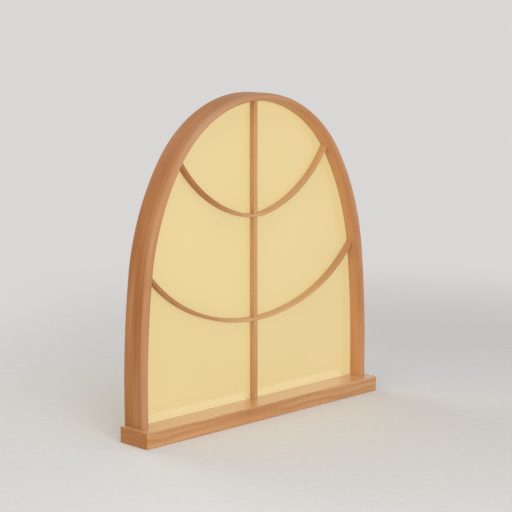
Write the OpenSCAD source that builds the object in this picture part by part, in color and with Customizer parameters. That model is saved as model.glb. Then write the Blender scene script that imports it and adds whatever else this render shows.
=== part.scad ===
// Arched wooden window with a sill, one sheet of opal glass and a grille of three bars
// X runs along the sill, +Y points to the wall, +Z is up
// The origin is below the middle of the part, on the underside of the sill

/* [Arch frame] */
// Width over the outside of the arch
frame_w = 968; // [800:1:1200]
// Thickness of the bent frame, seen from the front
frame_t = 24; // [22:0.5:34]
// Depth of the frame from the wall to the tip of its nose
frame_d = 87; // [82:0.5:110]
// Height of the straight feet above the sill
foot_h = 98; // [60:1:180]
// Radius above the feet, as a multiple of half the frame width
foot_ratio = 5.83; // [4.5:0.01:8]
// Radius of the shoulders, as a multiple of half the frame width
shoulder_ratio = 1.567; // [1.35:0.001:1.8]
// Angle that the bend above each foot turns through
foot_turn = 7; // [5:0.1:10]
// Angle that each shoulder turns through
shoulder_turn = 26; // [18:0.1:32]
// Depth of the rounded nose
nose_d = 22; // [14:0.5:26]
// Radius of the tip of the nose
nose_r = 7; // [4:0.25:9]

/* [Sill] */
// Length of the sill past the frame on each side
sill_ear = 16; // [6:1:40]
// Depth of the sill from its front edge to the wall
sill_d = 118; // [115:1:170]
// Thickness of the sill
sill_t = 48; // [40:1:70]
// Radius of the eased front edges of the sill
sill_edge_r = 3; // [1:0.25:6]
// Radius of the drip groove under the front of the sill
drip_r = 3; // [2:0.25:5]
// Distance of the drip groove from the front of the sill
drip_in = 14; // [9:0.5:25]

/* [Bars] */
// Width of the vertical bar
post_w = 14; // [11:0.25:18]
// Depth of the vertical bar
post_d = 19.5; // [16:0.25:22]
// Width of the curved bars
curve_w = 10.5; // [9:0.25:16]
// How far the curved bars stand in front of the vertical bar
curve_proud = 1.5; // [1:0.25:3]
// Chamfer on the front edges of the bars
bar_chamfer = 1; // [0.5:0.25:2]
// Depth that is left of the vertical bar where a curved bar crosses it
lap_d = 10; // [8:0.25:12]
// Depth of the housings that take the ends of the bars
housing_d = 6; // [4:0.25:8]
// Height of the middle of the upper curve above the sill
upper_rise = 578; // [520:1:630]
// Radius of the middle of the upper curve, as a multiple of half the frame width
upper_mid_ratio = 0.495; // [0.4:0.005:0.7]
// Angle that each half of the middle of the upper curve turns through
upper_mid_turn = 14.6; // [8:0.1:25]
// Radius of the sides of the upper curve, as a multiple of half the frame width
upper_side_ratio = 0.883; // [0.75:0.001:1.1]
// Height of the middle of the lower curve above the sill
lower_rise = 256.5; // [190:0.5:330]
// Radius of the middle of the lower curve, as a multiple of half the frame width
lower_mid_ratio = 1.322; // [1.1:0.001:1.6]
// Angle that each half of the middle of the lower curve turns through
lower_mid_turn = 22.2; // [12:0.1:28]
// Radius of the sides of the lower curve, as a multiple of half the frame width
lower_side_ratio = 1.042; // [0.95:0.001:1.2]

/* [Glazing] */
// Thickness of the glass
glass_t = 6; // [4:0.5:8]
// Distance from the wall to the back of the glass
glass_back = 31; // [27:0.5:34]
// Width of the rebate that takes the edge of the glass
rebate_w = 10; // [8:0.5:11]
// Depth of the rebate in the top of the sill
sill_rebate_d = 12; // [10:0.5:16]
// How far the edge of the glass reaches into the rebate
edge_cover = 8; // [5:0.5:9]
// Thickness of the glazing tape
tape_t = 1.5; // [1:0.25:2.5]
// Width of the tape behind the bars
bar_tape_w = 9; // [6:0.5:9]
// Width of the beads
bead_w = 12; // [11:0.5:16]
// Depth of the beads
bead_d = 14; // [11:0.5:18]
// Chamfer on the back of the beads
bead_chamfer = 4; // [2:0.5:6]
// How far the bottom bead stands above the sill
bead_lift = 2; // [0:0.5:6]
// Length of each setting block
block_l = 80; // [40:5:120]
// Distance of each setting block from the middle
block_x = 250; // [150:5:300]

/* [Fixings] */
// Radius of the bead pins
pin_r = 0.9; // [0.7:0.05:1.2]
// Depth that a bead pin reaches into the wood behind its bead
pin_reach = 8; // [5:0.5:9]
// Shank radius of the sill screws
screw_r = 2.25; // [2:0.05:2.75]
// Length of the sill screws
screw_l = 76; // [72:1:100]
// Head radius of the sill screws
screw_head_r = 4.5; // [4:0.1:5.5]
// Depth of the screw heads below the underside of the sill
screw_sink = 1; // [0.5:0.25:3]
// Width of the square socket in the screw heads
socket_w = 3; // [2:0.25:3.5]
// Depth of the square socket in the screw heads
socket_d = 2; // [1:0.25:2.25]
// Distance of the back screws from the wall
back_screw_v = 20; // [15:1:26]
// Distance of the front screws from the wall
front_screw_v = 52; // [46:1:56]
// Radius of the wall fixing holes
wall_hole_r = 3; // [2:0.25:4]
// Depth of the wall fixing holes
wall_hole_d = 30; // [20:1:35]
// Distance of the wall holes in the sill from the middle
wall_hole_x = 360; // [250:5:380]
// Height of the wall holes in the sill
wall_hole_z = 18; // [12:1:20]
// Clearance of housings, laps and holes
fit = 0.1; // [0.05:0.05:0.3]

/* [Hidden] */

// Overshoot that lets a cut pass clean through a face
past = 1;
// Fineness of the large curves and of the small round forms
arc_fn = 240;
round_fn = 48;
// Angle at which the curves of the bars end, well outside the frame
sag_end = -14;
// Places of the bead pins: shares of each shoulder, of each half of the crown and of half the width
shoulder_pins = [0.15, 0.5, 0.85];
crown_pins = [0.25, 0.6, 0.92];
sill_pins = [-0.75, -0.25, 0.25, 0.75];

// Plan sizes
half_w = frame_w / 2;
sill_l = frame_w + 2 * sill_ear;
wall_y = sill_d / 2;

// Radii and centres of the arch, each arc tangent to the next
foot_r = foot_ratio * half_w;
shoulder_r = shoulder_ratio * half_w;
turn_1 = foot_turn;
turn_2 = foot_turn + shoulder_turn;
foot_in = foot_r * (1 - cos(turn_1));
shoulder_in = shoulder_r * (cos(turn_1) - cos(turn_2));
crown_r = (half_w - foot_in - shoulder_in) / cos(turn_2);
foot_c = [half_w - foot_r, sill_t + foot_h];
shoulder_c = foot_c + (foot_r - shoulder_r) * [cos(turn_1), sin(turn_1)];
crown_c = shoulder_c + (shoulder_r - crown_r) * [cos(turn_2), sin(turn_2)];
arch_top = crown_c[1] + crown_r;
arch_h = arch_top - sill_t;

// Distances from the wall
glass_front = glass_back + glass_t;
shoulder_v = glass_front + tape_t;
post_front = shoulder_v + post_d;
curve_d = post_d + curve_proud;
curve_front = shoulder_v + curve_d;
lap_v = shoulder_v + lap_d;
bead_back = glass_back - bead_d;
bead_mid = glass_back - bead_d / 2 + bead_chamfer / 2;

// Depths from the outside of the arch
rim_t = frame_t - rebate_w;
glass_in = frame_t - edge_cover;
housing_in = frame_t - housing_d;
bead_in = rim_t + bead_w;

// Heights in the rebate of the sill
rebate_z = sill_t - sill_rebate_d;
glass_z = sill_t - edge_cover;
bead_top = sill_t + bead_lift;

// Nose of the frame: two side arcs and a tip arc, all tangent
nose_k = nose_d - nose_r;
nose_half = frame_t / 2;
nose_side_r = (nose_half * nose_half + nose_k * nose_k - nose_r * nose_r) / (2 * (nose_half - nose_r));
nose_v = frame_d - nose_d;
nose_join = nose_side_r * nose_k / (nose_side_r - nose_r);

// Section of the frame: the outer face lies on x = 0 and y is the distance from the wall
module frame_section() {
    difference() {
        union() {
            translate([-frame_t, 0]) square([frame_t, nose_v]);
            intersection() {
                translate([-nose_side_r, nose_v]) circle(nose_side_r, $fn = arc_fn);
                translate([nose_side_r - frame_t, nose_v]) circle(nose_side_r, $fn = arc_fn);
                translate([-frame_t, nose_v]) square([frame_t, nose_join]);
            }
            translate([-nose_half, frame_d - nose_r]) circle(nose_r, $fn = arc_fn);
        }
        translate([-frame_t - past, -past]) square([rebate_w + past, shoulder_v + past]);
    }
}

// Section of a bar: centred on x = 0, square at the back and chamfered at the front
module bar_section(w, v0, v1) {
    polygon([
        [-w / 2, v0],
        [w / 2, v0],
        [w / 2, v1 - bar_chamfer],
        [w / 2 - bar_chamfer, v1],
        [bar_chamfer - w / 2, v1],
        [-w / 2, v1 - bar_chamfer]
    ]);
}

// Section of a bead: rests on the rim of the frame, with a chamfered back
module bead_section() {
    polygon([
        [-rim_t, bead_back],
        [bead_chamfer - bead_in, bead_back],
        [-bead_in, bead_back + bead_chamfer],
        [-bead_in, glass_back],
        [-rim_t, glass_back]
    ]);
}

// Moves a child in whole, thousandth and finer steps, so that neighbouring sweeps meet exactly
module exact_move(v) {
    whole = [for (k = v) floor(k)];
    thousandth = [for (k = v - whole) floor(1000 * k) / 1000];
    translate(whole) translate(thousandth) translate(v - whole - thousandth) children();
}

// Sweeps a section round a centre in the plane of the window
module arc_sweep(c, r, from, to) {
    exact_move([c[0], wall_y, c[1]])
        rotate([90, 0, 0])
            rotate_extrude(angle = to - from, start = from, $fn = arc_fn)
                exact_move([r, 0]) children();
}

// Sweeps a section up the right foot and over to the crown
module half_sweep(z_foot) {
    translate([half_w, wall_y, z_foot])
        mirror([0, 1, 0])
            linear_extrude(foot_c[1] - z_foot) children();
    arc_sweep(foot_c, foot_r, 0, turn_1) children();
    arc_sweep(shoulder_c, shoulder_r, turn_1, turn_2) children();
    arc_sweep(crown_c, crown_r, turn_2, 90) children();
}

// Slab that fills the arch, a given depth in from its outside, between two distances from the wall
module arch_slab(inset, z_low, v0, v1) {
    difference() {
        translate([-half_w, wall_y - v1, z_low]) cube([frame_w, v1 - v0, arch_top - z_low]);
        for (side = [0, 1]) {
            mirror([side, 0, 0])
                half_sweep(z_low - past)
                    translate([-inset, v0 - past]) square([half_w, v1 - v0 + 2 * past]);
        }
    }
}

// Sweeps a section along a sagging curve that is longer than the window is wide
module sag_sweep(rise, mid_ratio, mid_turn, side_ratio) {
    mid_r = mid_ratio * half_w;
    side_r = side_ratio * half_w;
    mid_c = [0, sill_t + rise + mid_r];
    side_c = mid_c + (side_r - mid_r) * [-sin(mid_turn), cos(mid_turn)];
    arc_sweep(mid_c, mid_r, -90 - mid_turn, mid_turn - 90) children();
    arc_sweep(side_c, side_r, mid_turn - 90, sag_end) children();
    mirror([1, 0, 0]) arc_sweep(side_c, side_r, mid_turn - 90, sag_end) children();
}

module upper_sweep() {
    sag_sweep(upper_rise, upper_mid_ratio, upper_mid_turn, upper_side_ratio) children();
}

module lower_sweep() {
    sag_sweep(lower_rise, lower_mid_ratio, lower_mid_turn, lower_side_ratio) children();
}

// Upright strip in the middle of the window
module post(w, z0, z1, v0, v1) {
    translate([0, wall_y, z0])
        mirror([0, 1, 0])
            linear_extrude(z1 - z0) bar_section(w, v0, v1);
}

// Space that the end of a curved bar takes in the frame
module curve_housing() {
    intersection() {
        children();
        arch_slab(housing_in - fit, sill_t, shoulder_v - past, curve_front + past);
    }
}

// Places a child at a point of the right half of the arch, with x pointing outwards
module on_arch(c, angle) {
    translate([c[0], wall_y, c[1]]) rotate([0, -angle, 0]) children();
}

// One bead pin, driven outwards through the bead into the rim
module arch_pin(r, gap) {
    translate([r - bead_in, -bead_mid, 0])
        rotate([0, 90, 0]) cylinder(r = pin_r + gap, h = bead_w + pin_reach + gap, $fn = round_fn);
}

// Every pin of one side bead
module side_pins(gap) {
    on_arch([0, (sill_t + foot_c[1]) / 2], 0) arch_pin(half_w, gap);
    for (share = shoulder_pins) {
        on_arch(shoulder_c, turn_1 + share * shoulder_turn) arch_pin(shoulder_r, gap);
    }
    for (share = crown_pins) {
        on_arch(crown_c, turn_2 + share * (90 - turn_2)) arch_pin(crown_r, gap);
    }
}

// Every pin of the bottom bead
module bottom_pins(gap) {
    for (share = sill_pins) {
        translate([share * half_w, wall_y - bead_mid, rebate_z - pin_reach - gap])
            cylinder(r = pin_r + gap, h = bead_top - rebate_z + pin_reach + gap, $fn = round_fn);
    }
}

// One sill screw, pointing up
module screw(gap) {
    cone_h = screw_head_r - screw_r;
    translate([0, 0, screw_sink]) {
        cylinder(r = screw_r + gap, h = screw_l + gap, $fn = round_fn);
        cylinder(r1 = screw_head_r + gap, r2 = screw_r + gap, h = cone_h, $fn = round_fn);
    }
}

// Hole for one sill screw, countersunk from below the sill
module screw_hole() {
    screw(fit / 2);
    translate([0, 0, -past])
        cylinder(r = screw_head_r + fit / 2, h = screw_sink + past, $fn = round_fn);
}

// Places a child at every sill screw, two to each foot
module at_screws() {
    for (side = [-1, 1]) {
        translate([side * (half_w - rim_t / 2), wall_y - back_screw_v, 0]) children();
        translate([side * (half_w - nose_half), wall_y - front_screw_v, 0]) children();
    }
}

// Blind hole from the wall side
module wall_hole() {
    translate([0, past, 0])
        rotate([90, 0, 0]) cylinder(r = wall_hole_r, h = wall_hole_d + past, $fn = round_fn);
}

module arch_frame() {
    color([0.72, 0.5, 0.32])
    difference() {
        for (side = [0, 1]) {
            mirror([side, 0, 0]) half_sweep(sill_t) frame_section();
        }
        curve_housing() upper_sweep() bar_section(curve_w + 2 * fit, shoulder_v - past, curve_front + fit);
        curve_housing() lower_sweep() bar_section(curve_w + 2 * fit, shoulder_v - past, curve_front + fit);
        post(post_w + 2 * fit, crown_c[1], arch_top - housing_in + fit, shoulder_v - past, post_front + fit);
        for (side = [0, 1]) {
            mirror([side, 0, 0]) {
                side_pins(fit / 2);
                on_arch(crown_c, turn_2) translate([crown_r - rim_t / 2, 0, 0]) wall_hole();
            }
        }
        at_screws() screw_hole();
    }
}

module sill_board() {
    r = sill_edge_r;
    color([0.76, 0.55, 0.36])
    difference() {
        intersection() {
            translate([-sill_l / 2, 0, 0])
                rotate([90, 0, 90])
                    linear_extrude(sill_l) {
                        translate([r - wall_y, 0]) square([sill_d - r, sill_t]);
                        translate([-wall_y, r]) square([r, sill_t - 2 * r]);
                        for (z = [r, sill_t - r]) {
                            translate([r - wall_y, z]) circle(r, $fn = round_fn);
                        }
                    }
            linear_extrude(sill_t) {
                translate([-sill_l / 2, r - wall_y]) square([sill_l, sill_d - r]);
                translate([r - sill_l / 2, -wall_y]) square([sill_l - 2 * r, r]);
                for (side = [-1, 1]) {
                    translate([side * (sill_l / 2 - r), r - wall_y]) circle(r, $fn = round_fn);
                }
            }
        }
        translate([rim_t - half_w, wall_y - shoulder_v, rebate_z])
            cube([frame_w - 2 * rim_t, shoulder_v + past, sill_rebate_d + past]);
        translate([-sill_l / 2 - past, drip_in - wall_y, 0])
            rotate([0, 90, 0]) cylinder(r = drip_r, h = sill_l + 2 * past, $fn = round_fn);
        post(post_w + 2 * fit, sill_t - housing_d - fit, sill_t + past, shoulder_v - past, post_front + fit);
        for (side = [-1, 1]) {
            translate([side * wall_hole_x, wall_y, wall_hole_z]) wall_hole();
        }
        bottom_pins(fit / 2);
        at_screws() screw_hole();
    }
}

module vertical_bar() {
    color([0.78, 0.56, 0.37])
    difference() {
        post(post_w, sill_t - housing_d, arch_top - housing_in, shoulder_v, post_front);
        upper_sweep() translate([-curve_w / 2 - fit, lap_v]) square([curve_w + 2 * fit, curve_d]);
        lower_sweep() translate([-curve_w / 2 - fit, lap_v]) square([curve_w + 2 * fit, curve_d]);
    }
}

// Trims a curved bar to the frame and laps it over the vertical bar
module curved_bar() {
    difference() {
        intersection() {
            children();
            arch_slab(housing_in, sill_t, shoulder_v - past, curve_front + past);
        }
        translate([-post_w / 2 - fit, wall_y - lap_v, sill_t])
            cube([post_w + 2 * fit, lap_d + past, arch_h]);
    }
}

module upper_curved_bar() {
    color([0.75, 0.53, 0.34])
    curved_bar() upper_sweep() bar_section(curve_w, shoulder_v, curve_front);
}

module lower_curved_bar() {
    color([0.75, 0.53, 0.34])
    curved_bar() lower_sweep() bar_section(curve_w, shoulder_v, curve_front);
}

module glass_pane() {
    color([0.92, 0.83, 0.6])
    arch_slab(glass_in, glass_z, glass_back, glass_front);
}

module frame_tape() {
    color([0.2, 0.2, 0.2])
    difference() {
        arch_slab(glass_in, glass_z, glass_front, shoulder_v);
        arch_slab(frame_t, sill_t, glass_front - past, shoulder_v + past);
    }
}

// Trims a strip of bar tape to the sight line of the frame
module trimmed_tape() {
    intersection() {
        children();
        arch_slab(frame_t, sill_t, glass_front - past, shoulder_v + past);
    }
}

// Space that the upright strip of bar tape takes, widened by a gap
module upright_tape(gap) {
    translate([-bar_tape_w / 2 - gap, wall_y - shoulder_v - gap, sill_t])
        cube([bar_tape_w + 2 * gap, tape_t + 2 * gap, arch_h]);
}

module bar_tape() {
    color([0.2, 0.2, 0.2])
    {
        trimmed_tape() upright_tape(0);
        difference() {
            trimmed_tape() upper_sweep() translate([-bar_tape_w / 2, glass_front]) square([bar_tape_w, tape_t]);
            upright_tape(fit);
        }
        difference() {
            trimmed_tape() lower_sweep() translate([-bar_tape_w / 2, glass_front]) square([bar_tape_w, tape_t]);
            upright_tape(fit);
        }
    }
}

module setting_blocks() {
    color([0.12, 0.12, 0.12])
    for (side = [-1, 1]) {
        translate([side * block_x - block_l / 2, wall_y - glass_front, rebate_z])
            cube([block_l, glass_t, glass_z - rebate_z]);
    }
}

module side_bead() {
    difference() {
        half_sweep(rebate_z) bead_section();
        side_pins(fit / 2);
    }
}

module bead_right() {
    color([0.74, 0.52, 0.33])
    side_bead();
}

module bead_left() {
    color([0.74, 0.52, 0.33])
    mirror([1, 0, 0]) side_bead();
}

module bead_bottom() {
    color([0.74, 0.52, 0.33])
    difference() {
        translate([bead_in - half_w, wall_y, 0])
            rotate([90, 0, 90])
                linear_extrude(frame_w - 2 * bead_in)
                    polygon([
                        [-glass_back, rebate_z],
                        [-glass_back, bead_top],
                        [-bead_back - bead_chamfer, bead_top],
                        [-bead_back, bead_top - bead_chamfer],
                        [-bead_back, rebate_z]
                    ]);
        bottom_pins(fit / 2);
    }
}

module bead_pins() {
    color([0.7, 0.7, 0.7])
    {
        for (side = [0, 1]) {
            mirror([side, 0, 0]) side_pins(0);
        }
        bottom_pins(0);
    }
}

module sill_screws() {
    color([0.75, 0.72, 0.6])
    at_screws()
        difference() {
            screw(0);
            translate([-socket_w / 2, -socket_w / 2, screw_sink - past])
                cube([socket_w, socket_w, socket_d + past]);
        }
}

arch_frame();
sill_board();
vertical_bar();
upper_curved_bar();
lower_curved_bar();
glass_pane();
frame_tape();
bar_tape();
setting_blocks();
bead_left();
bead_right();
bead_bottom();
bead_pins();
sill_screws();
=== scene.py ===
import math

import bpy
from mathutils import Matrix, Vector

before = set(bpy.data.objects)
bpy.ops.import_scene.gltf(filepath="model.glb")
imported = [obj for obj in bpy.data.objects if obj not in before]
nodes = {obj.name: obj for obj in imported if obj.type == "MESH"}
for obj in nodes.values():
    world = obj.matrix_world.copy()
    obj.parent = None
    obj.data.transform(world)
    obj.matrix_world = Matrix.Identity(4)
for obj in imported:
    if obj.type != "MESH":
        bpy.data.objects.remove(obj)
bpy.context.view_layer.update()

scene = bpy.context.scene
scene.view_settings.view_transform = "Standard"

# Sizes of the part in metres: the same arcs as the solids have
HALF_W = 0.484
SILL_T = 0.048
FOOT_H = 0.098
FOOT_R = 5.83 * HALF_W
SHOULDER_R = 1.567 * HALF_W
TURN_1 = math.radians(7)
TURN_2 = math.radians(33)
FOOT_IN = FOOT_R * (1 - math.cos(TURN_1))
SHOULDER_IN = SHOULDER_R * (math.cos(TURN_1) - math.cos(TURN_2))
CROWN_R = (HALF_W - FOOT_IN - SHOULDER_IN) / math.cos(TURN_2)
FOOT_C = (HALF_W - FOOT_R, SILL_T + FOOT_H)
SHOULDER_C = (
    FOOT_C[0] + (FOOT_R - SHOULDER_R) * math.cos(TURN_1),
    FOOT_C[1] + (FOOT_R - SHOULDER_R) * math.sin(TURN_1),
)
CROWN_C = (
    SHOULDER_C[0] + (SHOULDER_R - CROWN_R) * math.cos(TURN_2),
    SHOULDER_C[1] + (SHOULDER_R - CROWN_R) * math.sin(TURN_2),
)
# Where the nose of the frame begins, and where it is full, as is the nose's painted sheen
NOSE_START = -0.006
NOSE_FULL = -0.018


class Graph:
    """A material's node tree, with short calls for the nodes that it uses."""

    def __init__(self, name):
        self.material = bpy.data.materials.new(name)
        self.material.use_nodes = True
        self.tree = self.material.node_tree
        self.tree.nodes.clear()
        self.output = self.node("ShaderNodeOutputMaterial")

    def node(self, kind, **settings):
        made = self.tree.nodes.new(kind)
        for key, value in settings.items():
            setattr(made, key, value)
        return made

    def put(self, value, socket):
        """Links a socket, or writes a constant straight onto it"""
        if isinstance(value, bpy.types.NodeSocket):
            self.tree.links.new(value, socket)
        else:
            socket.default_value = value

    def math(self, operation, *values):
        made = self.node("ShaderNodeMath", operation=operation)
        for value, socket in zip(values, made.inputs):
            self.put(value, socket)
        return made.outputs[0]

    def add(self, a, b):
        return self.math("ADD", a, b)

    def sub(self, a, b):
        return self.math("SUBTRACT", a, b)

    def mul(self, a, b):
        return self.math("MULTIPLY", a, b)

    def length(self, a, b):
        return self.math("SQRT", self.add(self.mul(a, a), self.mul(b, b)))

    def position(self):
        coords = self.node("ShaderNodeTexCoord")
        parts = self.node("ShaderNodeSeparateXYZ")
        self.put(coords.outputs["Object"], parts.inputs[0])
        return parts.outputs[0], parts.outputs[1], parts.outputs[2]

    def vector(self, x, y, z):
        made = self.node("ShaderNodeCombineXYZ")
        for value, socket in zip((x, y, z), made.inputs):
            self.put(value, socket)
        return made.outputs[0]

    def noise(self, vector, detail=2.0, roughness=0.5):
        made = self.node("ShaderNodeTexNoise")
        self.put(vector, made.inputs["Vector"])
        made.inputs["Scale"].default_value = 1.0
        made.inputs["Detail"].default_value = detail
        made.inputs["Roughness"].default_value = roughness
        return made.outputs["Fac"]

    def even_noise(self, scale, detail=2.0):
        """Noise of one scale in every direction"""
        x, y, z = self.position()
        place = self.vector(self.mul(x, scale), self.mul(y, scale), self.mul(z, scale))
        return self.noise(place, detail)

    def pick(self, test, low, high):
        """low where test is 0, high where it is 1"""
        made = self.node("ShaderNodeMix", data_type="FLOAT")
        self.put(test, made.inputs[0])
        self.put(low, made.inputs[2])
        self.put(high, made.inputs[3])
        return made.outputs[0]

    def blend(self, factor, a, b):
        made = self.node("ShaderNodeMix", data_type="RGBA")
        self.put(factor, made.inputs[0])
        self.put(a, made.inputs[6])
        self.put(b, made.inputs[7])
        return made.outputs[2]

    def span(self, value, low, high, to_low=0.0, to_high=1.0):
        """Eased step of value from low to high, as to_low to to_high"""
        made = self.node("ShaderNodeMapRange", interpolation_type="SMOOTHSTEP")
        for item, socket in zip((value, low, high, to_low, to_high), made.inputs):
            self.put(item, socket)
        return made.outputs[0]

    def spread(self, noise, to_low=0.0, to_high=1.0):
        """The middle of a noise's range, as to_low to to_high"""
        return self.span(noise, 0.3, 0.7, to_low, to_high)

    def ramp(self, factor, *stops):
        made = self.node("ShaderNodeValToRGB")
        self.put(factor, made.inputs[0])
        stops_in = made.color_ramp.elements
        while len(stops_in) < len(stops):
            stops_in.new(0.5)
        for element, (place, colour) in zip(stops_in, stops):
            element.position = place
            element.color = colour
        return made.outputs[0]

    def bump(self, height, strength, distance, normal=None):
        made = self.node("ShaderNodeBump")
        made.inputs["Strength"].default_value = strength
        made.inputs["Distance"].default_value = distance
        self.put(height, made.inputs["Height"])
        if normal is not None:
            self.put(normal, made.inputs["Normal"])
        return made.outputs[0]

    def surface(self, **sockets):
        shader = self.node("ShaderNodeBsdfPrincipled")
        for name, value in sockets.items():
            self.put(value, shader.inputs[name.replace("_", " ")])
        self.put(shader.outputs[0], self.output.inputs["Surface"])
        return self.material


def srgb(red, green, blue):
    """A colour given as 0 to 255 display values, in the linear form that sockets take"""
    def linear(value):
        value /= 255
        return value / 12.92 if value <= 0.04045 else ((value + 0.055) / 1.055) ** 2.4
    return (linear(red), linear(green), linear(blue), 1.0)


# Dark, middle and pale tones of each wood
FRAME_TONES = (srgb(174, 106, 48), srgb(191, 128, 70), srgb(208, 151, 102))
SILL_TONES = (srgb(179, 119, 66), srgb(197, 141, 84), srgb(208, 155, 101))
BAR_TONES = (srgb(180, 126, 74), srgb(197, 145, 91), srgb(208, 159, 108))
CURVE_TONES = (srgb(188, 138, 86), srgb(206, 159, 105), srgb(217, 173, 122))
# Colours of the details in the wood, and of the painted sheen and painted shade laid on it
LATE_WOOD = srgb(150, 90, 46)
PORE = srgb(126, 74, 38)
# Painted shade on lengths of the curved bars
PAINTED_BAR_SHADE = srgb(161, 92, 38)
# Painted sheen on the frame's nose
PAINTED_NOSE_SHEEN = srgb(188, 146, 117)
# Painted sheen on the tops of the sill
PAINTED_TOP_SHEEN = srgb(226, 182, 134)
END_GRAIN = srgb(178, 106, 40)
WORN_EDGE = srgb(220, 170, 122)
# Gloss of the end grain, and radius of the edges that wear
END_GLOSS = 0.2
EDGE_R = 0.0012

GLASS_TONES = (srgb(154, 139, 97), srgb(158, 143, 102))
# Painted glow of the glass, standing in for light from behind
PAINTED_GLASS_GLOW = srgb(237, 214, 153)
TAPE_TONES = (srgb(150, 128, 98), srgb(176, 155, 122))
RUBBER_TONES = (srgb(38, 38, 38), srgb(58, 57, 55))
PIN_TONES = (srgb(150, 150, 150), srgb(190, 190, 188))
SCREW_TONES = (srgb(176, 160, 112), srgb(208, 194, 150))
FLOOR_TONES = (srgb(232, 231, 229), srgb(236, 235, 233))
PALE = srgb(216, 215, 213)


def polar(g, x, z, centre):
    """Distance and angle of a point from a centre in the plane of the window"""
    dx = g.sub(x, centre[0])
    dz = g.sub(z, centre[1])
    return g.length(dx, dz), g.math("ARCTAN2", dz, dx)


def arch_grain(g):
    """Depth from the outside of the arch, distance from the wall and length round the arch"""
    x, y, z = g.position()
    side = g.math("ABSOLUTE", x)
    across = g.sub(HALF_W, side)
    along = g.sub(z, SILL_T)
    above = g.math("GREATER_THAN", z, FOOT_C[1])
    start, before = 0.0, FOOT_H
    for centre, radius, end in (
        (FOOT_C, FOOT_R, TURN_1),
        (SHOULDER_C, SHOULDER_R, TURN_2),
        (CROWN_C, CROWN_R, math.pi / 2),
    ):
        distance, angle = polar(g, side, z, centre)
        across = g.pick(above, across, g.sub(radius, distance))
        length = g.add(g.mul(g.sub(angle, start), radius), before)
        along = g.pick(above, along, length)
        above = g.math("GREATER_THAN", angle, end)
        before += radius * (end - start)
        start = end
    left = g.math("LESS_THAN", x, 0.0)
    return across, y, g.pick(left, along, g.sub(2 * before, along))


def sag_grain(rise, mid_ratio, mid_turn, side_ratio):
    """Grain that follows one of the sagging bars, with lengths below zero on its left half"""
    turn = math.radians(mid_turn)
    mid_r = mid_ratio * HALF_W
    side_r = side_ratio * HALF_W
    mid_c = (0.0, SILL_T + rise + mid_r)
    side_c = (
        -(side_r - mid_r) * math.sin(turn),
        mid_c[1] + (side_r - mid_r) * math.cos(turn),
    )

    def coords(g):
        x, y, z = g.position()
        side = g.math("ABSOLUTE", x)
        mid_d, mid_a = polar(g, side, z, mid_c)
        side_d, side_a = polar(g, side, z, side_c)
        mid_a = g.add(mid_a, math.pi / 2)
        side_a = g.add(side_a, math.pi / 2)
        outer = g.math("GREATER_THAN", mid_a, turn)
        across = g.pick(outer, g.sub(mid_d, mid_r), g.sub(side_d, side_r))
        length = g.add(g.mul(g.sub(side_a, turn), side_r), mid_r * turn)
        along = g.pick(outer, g.mul(mid_a, mid_r), length)
        return across, y, g.mul(along, g.math("SIGN", x))

    return coords


def upright_grain(g):
    """Grain that runs up the part"""
    return g.position()


def level_grain(g):
    """Grain that runs along the sill"""
    x, y, z = g.position()
    return z, y, x


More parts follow.
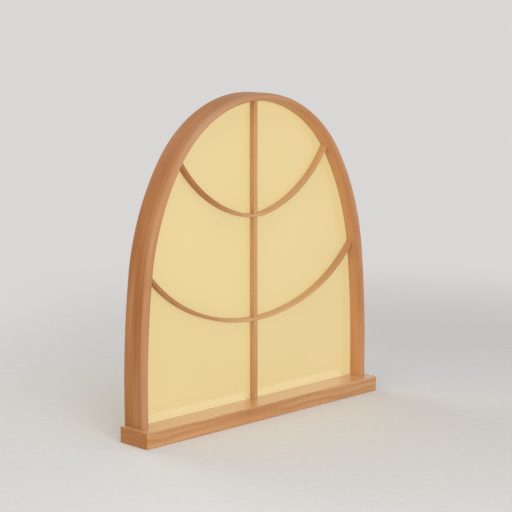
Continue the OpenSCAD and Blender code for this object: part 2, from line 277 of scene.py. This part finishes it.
def wood(
    name, grain, seed, heart, ring, tones, contrast,
    broad_along=2.0, wave=1.7, painted_light_inward=0.0, paint_nose_sheen=False, top_sheen_and_end_grain=False,
    varnish=0.12, painted_shade_runs=(),
):
    """Oiled wood: growth rings round a heart line, slow streaks, fibres, pores and worn edges, with
    painted light and shade where asked for

    heart is the place of the heart line and ring the width of a year. painted_light_inward is painted
    light and shade across the arch: it makes the outside darker and the inside paler.
    painted_shade_runs are lengths painted darker as shade, each with its start, its full end and its
    amount.
    """
    g = Graph(name)
    across, deep, along = grain(g)

    def at(wide, long, shift):
        return g.vector(
            g.add(g.mul(across, wide), seed + shift),
            g.add(g.mul(deep, wide), seed * 0.7),
            g.add(g.mul(along, long), seed * 1.3),
        )

    streak = g.noise(at(26, broad_along, 0.0), detail=3.0, roughness=0.55)
    wander = g.noise(at(9, wave, 11.0), detail=2.0)
    patch = g.noise(at(14, 3.2, 53.0), detail=2.0)
    fibre = g.noise(at(620, 9, 23.0), detail=3.0, roughness=0.6)
    pore = g.noise(at(1300, 45, 37.0), detail=1.0)

    # Growth rings, stronger in some patches than in others
    radius = g.length(g.sub(across, heart[0]), g.sub(deep, heart[1]))
    radius = g.add(radius, g.mul(wander, 0.030))
    year = g.math("FRACT", g.mul(radius, 1 / ring))
    late = g.mul(g.span(year, 0.15, 0.85), g.span(year, 1.0, 0.85))
    late = g.mul(late, g.span(patch, 0.35, 0.65, 0.25, 1.0))

    tone = g.add(g.add(g.mul(streak, 0.8), g.mul(patch, 0.5)), g.mul(fibre, 0.35))
    nose = g.span(deep, NOSE_START, NOSE_FULL)
    # Painted light and shade across the arch: the outside darker, the inside paler, off the nose
    tone = g.add(tone, g.mul(g.mul(g.sub(across, 0.008), painted_light_inward), g.sub(1.0, nose)))
    colour = g.ramp(
        g.span(tone, 0.55, 1.1),
        (0.0, tones[0]),
        (0.45, tones[1]),
        (1.0, tones[2]),
    )
    colour = g.blend(g.mul(late, contrast), colour, LATE_WOOD)
    colour = g.blend(g.span(pore, 0.62, 0.75, 0.0, 0.25), colour, PORE)
    # Painted sheen on the nose, laid on in patches
    if paint_nose_sheen:
        colour = g.blend(g.mul(nose, g.spread(patch, 0.3, 0.6)), colour, PAINTED_NOSE_SHEEN)
    # Painted shade over the given lengths
    for start, end, amount in painted_shade_runs:
        run = g.span(along, start, end, 0.0, amount)
        colour = g.blend(g.mul(run, g.span(streak, 0.25, 0.6, 1.0, 0.7)), colour, PAINTED_BAR_SHADE)
    gloss = varnish
    # Painted sheen: tops paler; end grain darker and less glossy
    if top_sheen_and_end_grain:
        face = g.node("ShaderNodeSeparateXYZ")
        g.put(g.node("ShaderNodeNewGeometry").outputs["True Normal"], face.inputs[0])
        top = g.span(face.outputs[2], 0.6, 0.9, 0.0, 0.6)
        colour = g.blend(top, colour, PAINTED_TOP_SHEEN)
        end = g.span(g.math("ABSOLUTE", face.outputs[0]), 0.6, 0.9)
        colour = g.blend(g.mul(end, 0.6), colour, END_GRAIN)
        gloss = g.span(end, 0.0, 1.0, varnish, END_GLOSS)

    # Edges are where the rounded normal leaves the true one
    bevel = g.node("ShaderNodeBevel", samples=4)
    bevel.inputs["Radius"].default_value = EDGE_R
    flat = g.node("ShaderNodeNewGeometry")
    dot = g.node("ShaderNodeVectorMath", operation="DOT_PRODUCT")
    g.put(bevel.outputs[0], dot.inputs[0])
    g.put(flat.outputs["Normal"], dot.inputs[1])
    edge = g.span(dot.outputs["Value"], 1.0, 0.8)
    worn = g.mul(edge, g.spread(streak, 0.1, 0.45))
    colour = g.blend(worn, colour, WORN_EDGE)

    height = g.add(g.mul(fibre, 0.5), g.sub(g.mul(late, 0.35), g.mul(pore, 0.3)))
    return g.surface(
        Base_Color=colour,
        Roughness=g.spread(fibre, 0.46, 0.6),
        Normal=g.bump(height, 0.15, 0.0005, bevel.outputs[0]),
        IOR=1.45,
        Specular_IOR_Level=0.45,
        Coat_Weight=gloss,
        Coat_Roughness=0.1,
    )


def opal_glass():
    """Opal glass: an even pale body with a painted glow of its own, standing in for light from behind,
    a faint draw and a polished face
    """
    g = Graph("opal_glass")
    x, y, z = g.position()
    cloud = g.noise(g.vector(g.mul(x, 3.0), g.mul(y, 3.0), g.mul(z, 2.2)), detail=3.0)
    draw = g.noise(g.vector(g.mul(x, 4.0), y, g.mul(z, 1.2)), detail=1.0)
    speck = g.even_noise(900)
    return g.surface(
        Base_Color=g.ramp(g.spread(cloud), (0.0, GLASS_TONES[0]), (1.0, GLASS_TONES[1])),
        Roughness=g.spread(speck, 0.1, 0.16),
        Normal=g.bump(draw, 0.04, 0.002),
        IOR=1.5,
        # Painted light: the glass glows though it is no lamp
        Emission_Color=PAINTED_GLASS_GLOW,
        Emission_Strength=0.55,
    )


def matte(name, tones, scale, detail, smooth, rough, relief):
    """Soft grained matter, such as foam or rubber"""
    g = Graph(name)
    grit = g.even_noise(scale, detail)
    return g.surface(
        Base_Color=g.ramp(g.spread(grit), (0.0, tones[0]), (1.0, tones[1])),
        Roughness=g.spread(grit, smooth, rough),
        Normal=g.bump(grit, relief, 0.0003),
    )


def steel(name, tones, seed):
    """Metal with fine marks across its length"""
    g = Graph(name)
    x, y, z = g.position()
    place = g.vector(g.mul(x, 600), g.add(g.mul(y, 600), seed), g.mul(z, 2500))
    mark = g.noise(place, detail=3.0)
    return g.surface(
        Base_Color=g.ramp(g.spread(mark), (0.0, tones[0]), (1.0, tones[1])),
        Metallic=1.0,
        Roughness=g.spread(mark, 0.28, 0.5),
        Normal=g.bump(mark, 0.15, 0.0002),
    )


# The frame is painted darker outside and paler inside as painted light and shade, with a painted sheen
# on its nose
frame_wood = wood(
    "frame_wood", arch_grain, seed=3.1, heart=(0.06, -0.11), ring=0.017,
    tones=FRAME_TONES, contrast=0.2, painted_light_inward=12.0, paint_nose_sheen=True,
)
bead_wood = wood(
    "bead_wood", arch_grain, seed=8.4, heart=(0.05, -0.02), ring=0.012,
    tones=FRAME_TONES, contrast=0.25,
)
bottom_bead_wood = wood(
    "bottom_bead_wood", level_grain, seed=5.9, heart=(-0.02, 0.11), ring=0.012,
    tones=FRAME_TONES, contrast=0.25,
)
# The sill's tops are painted paler as a painted sheen; its end grain is darker
sill_wood = wood(
    "sill_wood", level_grain, seed=1.7, heart=(-0.045, 0.02), ring=0.015,
    tones=SILL_TONES, contrast=0.42, broad_along=1.4, wave=4.5, top_sheen_and_end_grain=True, varnish=1.0,
)
post_wood = wood(
    "post_wood", upright_grain, seed=6.2, heart=(0.05, -0.05), ring=0.008,
    tones=BAR_TONES, contrast=0.2, varnish=0.35,
)
# The curved bars' left halves, and a length of the lower bar's right half, are painted darker as shade
upper_wood = wood(
    "upper_bar_wood", sag_grain(rise=0.578, mid_ratio=0.495, mid_turn=14.6, side_ratio=0.883),
    seed=2.6, heart=(0.05, -0.04), ring=0.008, tones=CURVE_TONES, contrast=0.2,
    varnish=0.35, painted_shade_runs=((0.03, -0.2, 0.85),),
)
lower_wood = wood(
    "lower_bar_wood", sag_grain(rise=0.2565, mid_ratio=1.322, mid_turn=22.2, side_ratio=1.042),
    seed=4.8, heart=(0.04, -0.05), ring=0.008, tones=CURVE_TONES, contrast=0.2,
    varnish=0.35, painted_shade_runs=((0.02, -0.28, 0.9), (0.22, 0.42, 0.45)),
)
tape = matte("glazing_tape", TAPE_TONES, scale=1500, detail=2.0, smooth=0.75, rough=0.95, relief=0.4)
block = matte("setting_block", RUBBER_TONES, scale=800, detail=3.0, smooth=0.6, rough=0.85, relief=0.3)
finishes = {
    "arch_frame": frame_wood,
    "sill_board": sill_wood,
    "vertical_bar": post_wood,
    "upper_curved_bar": upper_wood,
    "lower_curved_bar": lower_wood,
    "glass_pane": opal_glass(),
    "frame_tape": tape,
    "bar_tape": tape,
    "setting_blocks": block,
    "bead_left": bead_wood,
    "bead_right": bead_wood,
    "bead_bottom": bottom_bead_wood,
    "bead_pins": steel("pin_steel", PIN_TONES, seed=1.0),
    "sill_screws": steel("screw_steel", SCREW_TONES, seed=2.0),
}
for name, finish in finishes.items():
    nodes[name].data.materials.clear()
    nodes[name].data.materials.append(finish)

# Radius of the floor, and where it fades from lit paint to the plain background
FLOOR_R = 40
FADE_START = 1.1
FADE_END = 3.0
SKY_LIGHT = 0.35


def floor():
    bpy.ops.mesh.primitive_circle_add(
        vertices=96, radius=FLOOR_R, fill_type="NGON", location=(0, 0, 0)
    )
    plate = bpy.context.object
    plate.name = "floor"
    g = Graph("floor")
    x, y, z = g.position()
    grain = g.noise(g.vector(g.mul(x, 40), g.mul(y, 40), 0.0), detail=3.0)
    paint = g.node("ShaderNodeBsdfDiffuse")
    g.put(g.ramp(grain, (0.3, FLOOR_TONES[0]), (0.7, FLOOR_TONES[1])), paint.inputs["Color"])
    glow = g.node("ShaderNodeEmission")
    glow.inputs["Color"].default_value = PALE
    mixed = g.node("ShaderNodeMixShader")
    g.put(g.span(g.length(x, y), FADE_START, FADE_END), mixed.inputs[0])
    g.put(paint.outputs[0], mixed.inputs[1])
    g.put(glow.outputs[0], mixed.inputs[2])
    g.put(mixed.outputs[0], g.output.inputs["Surface"])
    plate.data.materials.append(g.material)


def sky():
    """Pale where it is seen or mirrored, and a plain white light elsewhere"""
    world = bpy.data.worlds.new("studio")
    scene.world = world
    world.use_nodes = True
    tree = world.node_tree
    tree.nodes.clear()
    out = tree.nodes.new("ShaderNodeOutputWorld")
    seen = tree.nodes.new("ShaderNodeBackground")
    seen.inputs["Color"].default_value = PALE
    lit = tree.nodes.new("ShaderNodeBackground")
    lit.inputs["Color"].default_value = (1.0, 1.0, 1.0, 1.0)
    lit.inputs["Strength"].default_value = SKY_LIGHT
    path = tree.nodes.new("ShaderNodeLightPath")
    either = tree.nodes.new("ShaderNodeMath")
    either.operation = "MAXIMUM"
    more = tree.nodes.new("ShaderNodeMath")
    more.operation = "MAXIMUM"
    mixed = tree.nodes.new("ShaderNodeMixShader")
    link = tree.links.new
    link(path.outputs["Is Camera Ray"], either.inputs[0])
    link(path.outputs["Is Glossy Ray"], either.inputs[1])
    link(either.outputs[0], more.inputs[0])
    link(path.outputs["Is Transmission Ray"], more.inputs[1])
    link(more.outputs[0], mixed.inputs[0])
    link(lit.outputs[0], mixed.inputs[1])
    link(seen.outputs[0], mixed.inputs[2])
    link(mixed.outputs[0], out.inputs["Surface"])


def turn_to(thing, place, aim):
    """Puts a lamp or a camera at a place and points it at another"""
    thing.location = place
    thing.rotation_euler = (Vector(aim) - Vector(place)).to_track_quat("-Z", "Y").to_euler()


def lamp(name, place, aim, wide, high, power, mirrored=True):
    data = bpy.data.lights.new(name, "AREA")
    data.shape = "RECTANGLE"
    data.size = wide
    data.size_y = high
    data.energy = power
    made = bpy.data.objects.new(name, data)
    made.visible_glossy = mirrored
    scene.collection.objects.link(made)
    turn_to(made, place, aim)


floor()
sky()
# From behind, the ends of the sill would mirror the key as white patches
lamp("key", (-1.7, -3.9, 1.2), aim=(0.0, 0.0, 0.5), wide=2.6, high=1.6, power=85, mirrored=False)
lamp("fill", (-3.4, -1.2, 1.4), aim=(0.0, 0.0, 0.5), wide=2.2, high=2.2, power=22)
lamp("top", (-0.4, -1.2, 3.8), aim=(0.0, 0.0, 0.3), wide=2.4, high=2.4, power=29)
lamp("back", (0.0, 3.6, 2.1), aim=(0.0, 0.0, 0.5), wide=1.8, high=1.0, power=40)
# A weak strip whose light glances off the sill into the foot of the glass
lamp("sheen", (4.07, -4.18, 1.53), aim=(0.0, 0.0, 0.05), wide=2.2, high=0.5, power=21)

# Camera at the photograph's viewing angle
camera = bpy.data.objects.new("camera", bpy.data.cameras.new("camera"))
scene.collection.objects.link(camera)
turn_to(camera, (-3.43476, -3.44656, 1.29813), aim=(-0.00043, 0.001, 0.50034))
camera.data.lens = 113.27
camera.data.sensor_width = 36
scene.camera = camera

bpy.context.view_layer.update()
